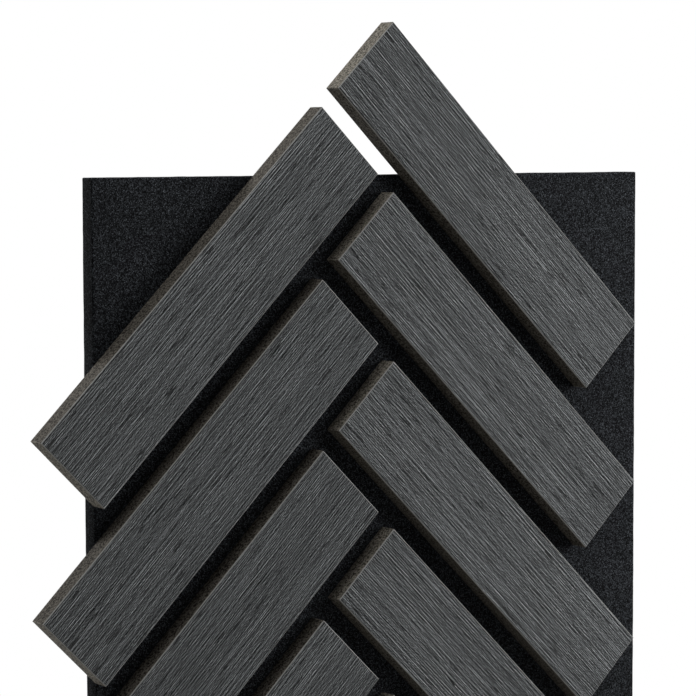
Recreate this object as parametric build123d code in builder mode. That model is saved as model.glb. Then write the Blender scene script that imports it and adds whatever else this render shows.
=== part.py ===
from build123d import *
from math import sqrt
import os

# A herringbone acoustic wall panel: wood slats stapled to a felt sheet. Sizes are in millimetres.
# +Z is up and the front faces -Y. The origin is the centre of the felt's back, against the wall.

# Slats, in two columns that lean 45 degrees each way
rows = 8
slat_length = 200
slat_width = 42.3
slat_thickness = 10
slat_gap = 12
slat_arris = 0.4  # bevel on the front edges

# Felt sheet
felt_thickness = 9
butt_gap = 0.8  # left between the felts of two panels that meet

# Staples, driven through the felt from the back until their crowns are flush
staple_crown = 12.8
wire_thickness = 0.65
wire_width = 0.95
crown_bevel = 0.4
point_slant = 0.5
staple_bite = 5  # depth of the points in a slat
staple_to_end = 33  # from a slat's end to the middle of its outer staples
staple_to_side = 10.5  # from a slat's long side to its staples
felt_beyond_staple = 6

# One row of the pattern is as high as a slat and its gap measured on the slant.
half_row = (slat_width + slat_gap) / sqrt(2)
row_height = 2 * half_row
# How far a slat's middle lies, across and down, from the line its inner corners stand on
reach = (slat_length - slat_width) / 2 / sqrt(2)

# The felt is one repeat wide and all the rows high, less the joint to the next panels.
felt_width = sqrt(2) * (slat_length + slat_gap) - butt_gap
felt_height = rows * row_height - butt_gap

# Each slat's middle, and its lean: 1 rises to the right, -1 falls to the right
slats = {}
for row in range(rows):
    middle_z = (rows / 2 - row) * row_height - reach
    slats[f"slat_left_{row + 1:02d}"] = (-reach - half_row, middle_z, 1)
    slats[f"slat_right_{row + 1:02d}"] = (reach, middle_z + half_row, -1)

# A staple seen along its wire's width: x runs along the crown, y from the felt's back to the front.
staple_depth = felt_thickness + staple_bite
crown_end = staple_crown / 2
leg_inside = crown_end - wire_thickness
staple_outline = [
    (crown_bevel - crown_end, 0),
    (crown_end - crown_bevel, 0),
    (crown_end, crown_bevel),
    (crown_end, staple_depth),
    (leg_inside, staple_depth - point_slant),
    (leg_inside, wire_thickness),
    (-leg_inside, wire_thickness),
    (-leg_inside, staple_depth - point_slant),
    (-crown_end, staple_depth),
    (-crown_end, crown_bevel),
]
staple_margin = crown_end / sqrt(2) + felt_beyond_staple


def staple_planes(x, z, lean):
    """Planes on one side of a slat's staples, where it has felt behind it. The crowns run along it."""
    planes = []
    outer_station = slat_length / 2 - staple_to_end
    outer_line = slat_width / 2 - staple_to_side
    for along in (-outer_station, 0, outer_station):
        for line in (-outer_line, outer_line):
            across = line - wire_width / 2
            staple_x = x + (along + lean * across) / sqrt(2)
            staple_z = z + (lean * along - across) / sqrt(2)
            in_width = abs(staple_x) < felt_width / 2 - staple_margin
            in_height = abs(staple_z) < felt_height / 2 - staple_margin
            if in_width and in_height:
                planes.append(Plane((staple_x, 0, staple_z), x_dir=(1, 0, lean), z_dir=(lean, 0, -1)))
    return planes


all_staple_planes = [plane for place in slats.values() for plane in staple_planes(*place)]

os.makedirs("parts", exist_ok=True)

# The felt sheet, with a slit for each staple
with BuildPart() as felt_backing:
    with BuildSketch(Plane.XZ):
        Rectangle(felt_width, felt_height)
    extrude(amount=felt_thickness)
    with BuildSketch(*all_staple_planes):
        Polygon(*staple_outline, align=None)
    extrude(amount=wire_width, mode=Mode.SUBTRACT)
felt_backing.part.label = "felt_backing"
export_step(felt_backing.part, "parts/felt_backing.step")

# The slats lie on the felt's front, and the staples' points end inside them.
for name, (x, z, lean) in slats.items():
    with BuildPart() as slat:
        with BuildSketch(Plane((x, -felt_thickness, z), x_dir=(1, 0, lean), z_dir=(0, -1, 0))):
            Rectangle(slat_length, slat_width)
        extrude(amount=slat_thickness)
        chamfer(slat.faces().sort_by(Axis.Y)[0].edges(), length=slat_arris)
        with BuildSketch(*staple_planes(x, z, lean)):
            Polygon(*staple_outline, align=None)
        extrude(amount=wire_width, mode=Mode.SUBTRACT)
    slat.part.label = name
    export_step(slat.part, f"parts/{name}.step")

# All the staples, as separate pieces of one group
with BuildPart() as staples:
    with BuildSketch(*all_staple_planes):
        Polygon(*staple_outline, align=None)
    extrude(amount=wire_width)
staples.part.label = "staples"
export_step(staples.part, "parts/staples.step")
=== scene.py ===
from math import pi, radians

import bpy
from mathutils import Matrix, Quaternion, Vector


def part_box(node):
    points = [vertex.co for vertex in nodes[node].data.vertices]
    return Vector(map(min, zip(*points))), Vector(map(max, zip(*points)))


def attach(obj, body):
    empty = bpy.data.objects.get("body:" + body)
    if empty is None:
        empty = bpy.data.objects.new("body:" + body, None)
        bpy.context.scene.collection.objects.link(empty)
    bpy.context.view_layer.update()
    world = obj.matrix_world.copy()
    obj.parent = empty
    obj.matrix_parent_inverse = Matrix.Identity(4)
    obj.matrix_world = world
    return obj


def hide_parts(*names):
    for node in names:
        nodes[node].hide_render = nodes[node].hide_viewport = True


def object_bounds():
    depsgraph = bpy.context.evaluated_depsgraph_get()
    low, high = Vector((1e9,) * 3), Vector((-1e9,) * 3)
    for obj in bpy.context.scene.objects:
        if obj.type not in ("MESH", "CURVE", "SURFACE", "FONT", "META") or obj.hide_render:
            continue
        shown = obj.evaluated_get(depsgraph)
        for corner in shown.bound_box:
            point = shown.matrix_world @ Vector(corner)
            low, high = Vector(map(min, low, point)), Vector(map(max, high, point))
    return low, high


# Looks of a herringbone acoustic panel: charcoal oak slats on black felt. Sizes are in metres.
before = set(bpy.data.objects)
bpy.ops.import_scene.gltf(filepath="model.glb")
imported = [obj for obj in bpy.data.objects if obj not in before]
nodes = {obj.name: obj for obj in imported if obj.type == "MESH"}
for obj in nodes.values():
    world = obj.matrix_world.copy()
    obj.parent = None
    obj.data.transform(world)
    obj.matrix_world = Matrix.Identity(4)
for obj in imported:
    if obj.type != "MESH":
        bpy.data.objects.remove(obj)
cad_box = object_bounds()
felt_low, felt_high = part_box("felt_backing")
slat_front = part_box("slat_left_01")[0].y
floor_height = cad_box[0][2]

# Felt sheet
FELT_CELL = 0.0025
FELT_EDGE = 0.0007
FELT_LUMP = 0.006
FELT_UNEVEN = 0.00025
FELT_RELIEF = 0.0003
STAPLE_PULL = 0.0008
PULL_NEAR = 0.002
PULL_FAR = 0.007
FLECK = 0.0004
CLOUD = 0.03
CLOUD_DEPTH = 0.15

# Slats. A kind of grain line has a length and a share of the grain. Other marks have a length and a width.
VENEER = 0.0006
ARRIS = 0.0004
GRAIN_WIDTH = 0.0003
GRAIN_STEP = 0.00036
GRAIN_LINES = {"flecks": (0.0012, 0.32), "dashes": (0.008, 0.28), "lines": (0.06, 0.4)}
GRAIN_SPAN = {"From Min": -0.32, "From Max": 0.44}
GRAIN_RELIEF = 0.0001
PORE = (0.008, 0.0003)
PORE_RARITY = 0.84
RAY = (0.03, 0.0003)
RAY_RARITY = 0.9
MARK_BLUR = 0.05
STAIN_BAND = (0.16, 0.014)
STAIN_DEPTH = 0.07
BOARD_FIBRE = 0.0009

# How light each slat is painted, from the first row on. Each leaf has its own tone, and besides the left
# slats are painted darker overall, as painted shade, and the right ones lighter, as painted sheen.
LEFT_TONES_WITH_SHADE = (0.98, 0.95, 0.91, 0.93, 0.93, 0.99, 0.92, 0.97)
RIGHT_TONES_WITH_SHEEN = (0.98, 1.03, 1.05, 1.08, 1.03, 0.97, 1.02, 0.99)

# Staples
ZINC_BLOOM = 0.002

# Floor, which turns white with distance from the panel
FLOOR_SIZE = 14
FLOOR_NEAR = 0.4
FLOOR_FAR = 1.8
FLOOR_WHITENED = 0.6

# Camera, at the photograph's place
EYE = Vector((-0.715483, -1.058777, 0.322960))
AIM = Vector((-0.025165, -0.019000, 0.229174))
ROLL = radians(-0.138)
LENS = 144.03

# Sockets of a Mix node that mixes colours
FACTOR = 0
FIRST = 6
SECOND = 7
MIXED = 2

# Noise seldom leaves this span.
NOISE_SPAN = {"From Min": 0.3, "From Max": 0.7}


def linear(hex_colour):
    """An sRGB hex colour as linear red, green, blue and alpha."""
    values = [int(hex_colour[i:i + 2], 16) / 255 for i in (1, 3, 5)]
    return [v / 12.92 if v <= 0.04045 else ((v + 0.055) / 1.055) ** 2.4 for v in values] + [1]


def add(tree, kind, inputs=(), **settings):
    """Add a node with its settings. Each input is a value, or another node's output to link."""
    new = tree.nodes.new("ShaderNode" + kind)
    for name, value in settings.items():
        setattr(new, name, value)
    for name, value in dict(inputs).items():
        if isinstance(value, bpy.types.NodeSocket):
            tree.links.new(value, new.inputs[name])
        else:
            new.inputs[name].default_value = value
    return new


def new_material(name):
    """A new material, with its node tree and its one shader."""
    material = bpy.data.materials.new(name)
    material.use_nodes = True
    return material, material.node_tree, material.node_tree.nodes["Principled BSDF"]


def background_seen(tree):
    """One for rays that show the background, straight or by way of a surface, and zero for others."""
    path = add(tree, "LightPath").outputs
    seen = add(tree, "Math", {0: path["Is Camera Ray"], 1: path["Is Glossy Ray"]}, operation="MAXIMUM")
    seen = add(tree, "Math", {0: seen.outputs[0], 1: path["Is Transmission Ray"]}, operation="MAXIMUM")
    return seen.outputs[0]


def charcoal_oak(name, middle, half_length, lean, leaf, tone_with_shading):
    """Oak veneer on fibreboard, stained charcoal and oiled matt. Each leaf of veneer has its own grain."""
    # The eye sees fine straight grain along the slat, plain brown-grey edges and a pale arris, which is
    # partly rubbed wear and partly a painted highlight.
    material, tree, shader = new_material(name)
    place = add(tree, "TexCoord").outputs["Object"]
    # In the slat's own frame, X runs along it, Y across it and Z out of its face.
    along = add(tree, "Mapping", {"Vector": place, "Location": middle,
                                  "Rotation": (pi / 2, -lean * pi / 4, 0)}, vector_type="TEXTURE")
    along = along.outputs[0]

    # Grain is light lines beside dark ones. It is drawn coarser than oak's, so that it shows.
    grain = 0
    for length, share in GRAIN_LINES.values():
        for aside, weight in ((0, share), (GRAIN_STEP, -share)):
            spot = add(tree, "Mapping", {"Vector": along, "Location": (leaf, leaf + aside, leaf),
                                         "Scale": (length, GRAIN_WIDTH, length)}, vector_type="TEXTURE")
            cell = add(tree, "TexVoronoi", {"Vector": spot.outputs[0], "Scale": 1}, voronoi_dimensions="2D")
            grain = add(tree, "Math", {0: cell.outputs["Color"], 1: weight, 2: grain},
                        operation="MULTIPLY_ADD").outputs[0]
    grain = add(tree, "MapRange", {"Value": grain, **GRAIN_SPAN}).outputs[0]
    shade = add(tree, "Math", {0: grain, 1: 2}, operation="POWER")
    wood = add(tree, "Mix", {FACTOR: shade.outputs[0], FIRST: linear("#020202"),
                             SECOND: linear("#9b9ea0")}, data_type="RGBA")
    # Pores are dark dashes, and rays are thin pale lines. They are drawn coarser too.
    for (length, width), rarity, stain in ((PORE, PORE_RARITY, "#2a2a2a"), (RAY, RAY_RARITY, "#7c7e80")):
        spot = add(tree, "Mapping", {"Vector": along, "Location": [leaf] * 3,
                                     "Scale": (length, width, length)}, vector_type="TEXTURE")
        cell = add(tree, "TexVoronoi", {"Vector": spot.outputs[0], "Scale": 1}, voronoi_dimensions="2D")
        mark = add(tree, "MapRange", {"Value": cell.outputs["Color"], "From Min": rarity,
                                      "From Max": rarity + MARK_BLUR})
        wood = add(tree, "Mix", {FACTOR: mark.outputs[0], FIRST: wood.outputs[MIXED],
                                 SECOND: linear(stain)}, data_type="RGBA")
    # Broad bands are where the stain took more or less.
    length, width = STAIN_BAND
    band = add(tree, "Mapping", {"Vector": along, "Location": [leaf] * 3,
                                 "Scale": (length, width, length)}, vector_type="TEXTURE")
    band = add(tree, "TexNoise", {"Vector": band.outputs[0], "Scale": 1, "Detail": 0})
    # The slat's tone scales the bands. Besides the leaf's own tone it holds painted shade on the left slats
    # and painted sheen on the right ones.
    band = add(tree, "MapRange", {"Value": band.outputs[0], **NOISE_SPAN,
                                  "To Min": (1 - STAIN_DEPTH) * tone_with_shading, "To Max": (1 + STAIN_DEPTH) * tone_with_shading})
    wood = add(tree, "VectorMath", {0: wood.outputs[MIXED], "Scale": band.outputs[0]}, operation="SCALE")

    # Edges: the fibreboard's speckle is drawn coarser than its fibres, and the sawn ends are painted paler
    # than the sides, as a painted highlight for the light that they catch.
    speckle = add(tree, "Mapping", {"Vector": place, "Scale": [BOARD_FIBRE] * 3}, vector_type="TEXTURE")
    speckle = add(tree, "TexNoise", {"Vector": speckle.outputs[0], "Scale": 1, "Detail": 0})
    fibre = add(tree, "MapRange", {"Value": speckle.outputs[0], **NOISE_SPAN})
    side = add(tree, "Mix", {FACTOR: fibre.outputs[0], FIRST: linear("#25221f"),
                             SECOND: linear("#66625b")}, data_type="RGBA")
    # Painted highlight: the sawn ends get a paler colour than the sides.
    sawn_highlit = add(tree, "Mix", {FACTOR: fibre.outputs[0], FIRST: linear("#3a3732"),
                             SECOND: linear("#8b867c")}, data_type="RGBA")
    from_middle = add(tree, "SeparateXYZ", {"Vector": along}).outputs["X"]
    to_end = add(tree, "Math", {0: from_middle}, operation="ABSOLUTE")
    at_end = add(tree, "MapRange", {"Value": to_end.outputs[0], "From Min": half_length - ARRIS,
                                    "From Max": half_length - ARRIS / 2})
    board = add(tree, "Mix", {FACTOR: at_end.outputs[0], FIRST: side.outputs[MIXED],
                              SECOND: sawn_highlit.outputs[MIXED]}, data_type="RGBA")

    # Depth below the face tells veneer, arris and board apart. The arris is painted pale grey, partly as
    # rubbed wear and partly as a painted highlight along the edge.
    depth = add(tree, "SeparateXYZ", {"Vector": place}).outputs["Y"]
    rubbed_and_highlit = add(tree, "MapRange", {"Value": depth, "From Min": slat_front + ARRIS / 20,
                                    "From Max": slat_front + ARRIS / 2})
    face = add(tree, "Mix", {FACTOR: rubbed_and_highlit.outputs[0], FIRST: wood.outputs[0],
                             SECOND: linear("#8c8c8a")}, data_type="RGBA")
    below = add(tree, "MapRange", {"Value": depth, "From Min": slat_front + VENEER - ARRIS / 4,
                                   "From Max": slat_front + VENEER + ARRIS / 4})
    colour = add(tree, "Mix", {FACTOR: below.outputs[0], FIRST: face.outputs[MIXED],
                               SECOND: board.outputs[MIXED]}, data_type="RGBA")
    tree.links.new(colour.outputs[MIXED], shader.inputs["Base Color"])

    bump = add(tree, "Bump", {"Height": grain, "Strength": 0.1, "Distance": GRAIN_RELIEF})
    tree.links.new(bump.outputs[0], shader.inputs["Normal"])
    rough = add(tree, "MapRange", {"Value": grain, "To Min": 0.62, "To Max": 0.5})
    tree.links.new(rough.outputs[0], shader.inputs["Roughness"])
    shader.inputs["Specular IOR Level"].default_value = 0.02
    return material


def pressed_felt(name):
    """Polyester felt, dyed black, needled and pressed."""
    # The eye sees a deep matt black, flecked by paler tangles of fibre, with a faint sheen.
    material, tree, shader = new_material(name)
    place = add(tree, "TexCoord").outputs["Object"]
    # Flecks are drawn coarser than single fibres, so that they show.
    fleck = add(tree, "Mapping", {"Vector": place, "Scale": [FLECK] * 3}, vector_type="TEXTURE")
    fleck = add(tree, "TexVoronoi", {"Vector": fleck.outputs[0], "Scale": 1})
    pale = add(tree, "Math", {0: fleck.outputs["Color"], 1: 4}, operation="POWER")
    cloud = add(tree, "Mapping", {"Vector": place, "Scale": [CLOUD] * 3}, vector_type="TEXTURE")
    cloud = add(tree, "TexNoise", {"Vector": cloud.outputs[0], "Scale": 1, "Detail": 2})
    cloud = add(tree, "MapRange", {"Value": cloud.outputs[0], **NOISE_SPAN,
                                   "To Min": 1 - CLOUD_DEPTH, "To Max": 1 + CLOUD_DEPTH})
    tuft = add(tree, "Math", {0: pale.outputs[0], 1: cloud.outputs[0]}, operation="MULTIPLY")
    colour = add(tree, "Mix", {FACTOR: tuft.outputs[0], FIRST: linear("#020203"),
                               SECOND: linear("#52565b")}, data_type="RGBA")
    tree.links.new(colour.outputs[MIXED], shader.inputs["Base Color"])
    bump = add(tree, "Bump", {"Height": fleck.outputs["Distance"], "Strength": 0.5, "Distance": FELT_RELIEF})
    tree.links.new(bump.outputs[0], shader.inputs["Normal"])
    shader.inputs["Roughness"].default_value = 0.95
    shader.inputs["Specular IOR Level"].default_value = 0.02
    shader.inputs["Sheen Weight"].default_value = 0.03
    shader.inputs["Sheen Roughness"].default_value = 0.6
    return material


def zinc_wire(name):
    """Steel staple wire, zinc-coated and drawn flat."""
    # The eye sees a dull grey metal with a cloudy bloom.
    material, tree, shader = new_material(name)
    place = add(tree, "TexCoord").outputs["Object"]
    bloom = add(tree, "Mapping", {"Vector": place, "Scale": [ZINC_BLOOM] * 3}, vector_type="TEXTURE")
    bloom = add(tree, "TexNoise", {"Vector": bloom.outputs[0], "Scale": 1, "Detail": 3})
    colour = add(tree, "Mix", {FACTOR: bloom.outputs[0], FIRST: linear("#9a9da0"),
                               SECOND: linear("#c9cbcc")}, data_type="RGBA")
    tree.links.new(colour.outputs[MIXED], shader.inputs["Base Color"])
    rough = add(tree, "MapRange", {"Value": bloom.outputs[0], "To Min": 0.25, "To Max": 0.5})
    tree.links.new(rough.outputs[0], shader.inputs["Roughness"])
    shader.inputs["Metallic"].default_value = 1
    return material


def studio_floor(name):
    """Painted studio floor, pale and matt."""
    # The eye sees a soft shadow near the panel, and white further off.
    material, tree, shader = new_material(name)
    place = add(tree, "TexCoord").outputs["Object"]
    away = add(tree, "VectorMath", {0: place, 1: (0, 0, floor_height)}, operation="DISTANCE")
    fade = add(tree, "MapRange", {"Value": away.outputs["Value"], "From Min": FLOOR_NEAR,
                                  "From Max": FLOOR_FAR, "To Min": FLOOR_WHITENED},
               interpolation_type="SMOOTHSTEP")
    whitened = add(tree, "Math", {0: fade.outputs[0], 1: background_seen(tree)}, operation="MULTIPLY")
    white = add(tree, "Emission", {"Color": (1, 1, 1, 1), "Strength": 1})
    mixed = add(tree, "MixShader", {0: whitened.outputs[0], 1: shader.outputs[0], 2: white.outputs[0]})
    tree.links.new(mixed.outputs[0], tree.nodes["Material Output"].inputs["Surface"])
    shader.inputs["Base Color"].default_value = linear("#d2d2d0")
    shader.inputs["Roughness"].default_value = 0.9
    return material


def apply_modifiers(piece):
    """Apply the piece's modifiers in order."""
    bpy.context.view_layer.objects.active = piece
    for modifier in list(piece.modifiers):
        bpy.ops.object.modifier_apply(modifier=modifier.name)


def felt_sheet():
    """The felt: a soft-edged, slightly uneven sheet, pulled in where the staples' crowns bite."""
    size = felt_high - felt_low
    middle = (felt_low + felt_high) / 2
    bpy.ops.object.select_all(action="DESELECT")
    bpy.ops.mesh.primitive_grid_add(
        x_subdivisions=round(size.x / FELT_CELL), y_subdivisions=round(size.z / FELT_CELL), size=1,
        location=(middle.x, felt_low.y, middle.z), rotation=(pi / 2, 0, 0))
    felt = bpy.context.object
    felt.name = "felt_sheet"
    felt.scale = (size.x, size.z, 1)
    bpy.ops.object.transform_apply(location=True, rotation=True, scale=True)

    # Thickness and soft edges
    bpy.ops.object.mode_set(mode="EDIT")
    bpy.ops.mesh.select_mode(type="EDGE")
    bpy.ops.mesh.select_all(action="SELECT")
    bpy.ops.mesh.extrude_region_move(TRANSFORM_OT_translate={"value": (0, size.y, 0)})
    bpy.ops.mesh.select_all(action="SELECT")
    bpy.ops.mesh.normals_make_consistent(inside=False)
    bpy.ops.mesh.select_all(action="DESELECT")
    bpy.ops.mesh.edges_select_sharp(sharpness=radians(60))
    bpy.ops.mesh.bevel(offset=FELT_EDGE, segments=2)
    bpy.ops.object.mode_set(mode="OBJECT")

    # Uneven surface, inwards only, so that it never enters a slat
    lumps = bpy.data.textures.new("felt lumps", "CLOUDS")
    lumps.noise_scale = FELT_LUMP
    uneven = felt.modifiers.new("uneven", "DISPLACE")
    uneven.texture = lumps
    uneven.texture_coords = "LOCAL"
    uneven.strength = FELT_UNEVEN
    uneven.mid_level = 1

    # Dimples in the back, where it is near a staple
    back = felt.vertex_groups.new(name="back")
    back.add([v.index for v in felt.data.vertices if v.co.y > felt_high.y - FELT_EDGE / 4], 1, "REPLACE")
    pulled = felt.vertex_groups.new(name="pulled")
    pulled.add([v.index for v in felt.data.vertices], 0, "REPLACE")
    near = felt.modifiers.new("near a staple", "VERTEX_WEIGHT_PROXIMITY")
    near.vertex_group = pulled.name
    near.mask_vertex_group = back.name
    near.target = nodes["staples"]
    near.proximity_mode = "GEOMETRY"
    near.proximity_geometry = {"FACE"}
    near.falloff_type = "SMOOTH"
    near.min_dist = PULL_FAR
    near.max_dist = PULL_NEAR
    pull = felt.modifiers.new("pulled in", "DISPLACE")
    pull.vertex_group = pulled.name
    pull.direction = "Y"
    pull.strength = -STAPLE_PULL
    pull.mid_level = 0
    apply_modifiers(felt)
    felt.vertex_groups.clear()
    bpy.ops.object.shade_smooth_by_angle(angle=radians(50))
    return felt


def soft_box(name, place, aim, width, height, power):
    """A white soft box at a place, turned to its aim."""
    lamp = bpy.data.lights.new(name, "AREA")
    lamp.shape = "RECTANGLE"
    lamp.size = width
    lamp.size_y = height
    lamp.energy = power
    holder = bpy.data.objects.new(name, lamp)
    holder.location = place
    holder.rotation_euler = (Vector(aim) - Vector(place)).to_track_quat("-Z", "Y").to_euler()
    bpy.context.collection.objects.link(holder)


# Felt
felt = felt_sheet()
felt.data.materials.append(pressed_felt("black pressed felt"))
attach(felt, "root")
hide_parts("felt_backing")

# Slats
for side, lean, tones_with_shading in (("left", 1, LEFT_TONES_WITH_SHADE), ("right", -1, RIGHT_TONES_WITH_SHEEN)):
    run = Vector((1, 0, lean)).normalized()
    for row, tone_with_shading in enumerate(tones_with_shading, start=1):
        slat = nodes[f"slat_{side}_{row:02d}"]
        low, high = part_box(slat.name)
        middle = (low + high) / 2
        half_length = max((v.co - middle).dot(run) for v in slat.data.vertices)
        # A number of its own, which takes the slat's grain from elsewhere in the pattern
        leaf = row + 10 * lean
        oak = charcoal_oak(f"charcoal oak veneer, {side} {row}", middle, half_length, lean, leaf, tone_with_shading)
        slat.data.materials.clear()
        slat.data.materials.append(oak)

# Staples
nodes["staples"].data.materials.clear()
nodes["staples"].data.materials.append(zinc_wire("zinc-coated staple wire"))

# Floor
bpy.ops.object.select_all(action="DESELECT")
bpy.ops.mesh.primitive_plane_add(size=FLOOR_SIZE, location=(0, 0, floor_height))
bpy.ops.object.transform_apply(location=True, rotation=True, scale=True)
floor = bpy.context.object
floor.name = "floor"
floor.data.materials.append(studio_floor("pale studio floor"))

# Light: a strip box at the right, soft boxes above and behind, and a white room around
soft_box("key", place=(0.66, -0.52, 0.42), aim=(0, 0, 0.22), width=0.4, height=0.8, power=8.2)
soft_box("top", place=(-0.2, -0.3, 1.7), aim=(0, 0, 0.1), width=1, height=1, power=14)
soft_box("back", place=(-0.6, 0.9, 1.1), aim=(0, 0, 0.2), width=0.8, height=0.8, power=9)
world = bpy.data.worlds.new("white room")
bpy.context.scene.world = world
world.use_nodes = True
room = world.node_tree
room.nodes.clear()
ambient = add(room, "Background", {"Color": (1, 1, 1, 1), "Strength": 0.14})
backdrop = add(room, "Background", {"Color": (1, 1, 1, 1), "Strength": 1})
both = add(room, "MixShader", {0: background_seen(room), 1: ambient.outputs[0], 2: backdrop.outputs[0]})
add(room, "OutputWorld", {"Surface": both.outputs[0]})

# Camera
camera = bpy.data.objects.new("camera", bpy.data.cameras.new("camera"))
camera.data.lens = LENS
camera.location = EYE
look = (AIM - EYE).to_track_quat("-Z", "Y")
camera.rotation_euler = (look @ Quaternion((0, 0, 1), ROLL)).to_euler()
bpy.context.collection.objects.link(camera)
bpy.context.scene.camera = camera
bpy.context.scene.view_settings.view_transform = "Standard"
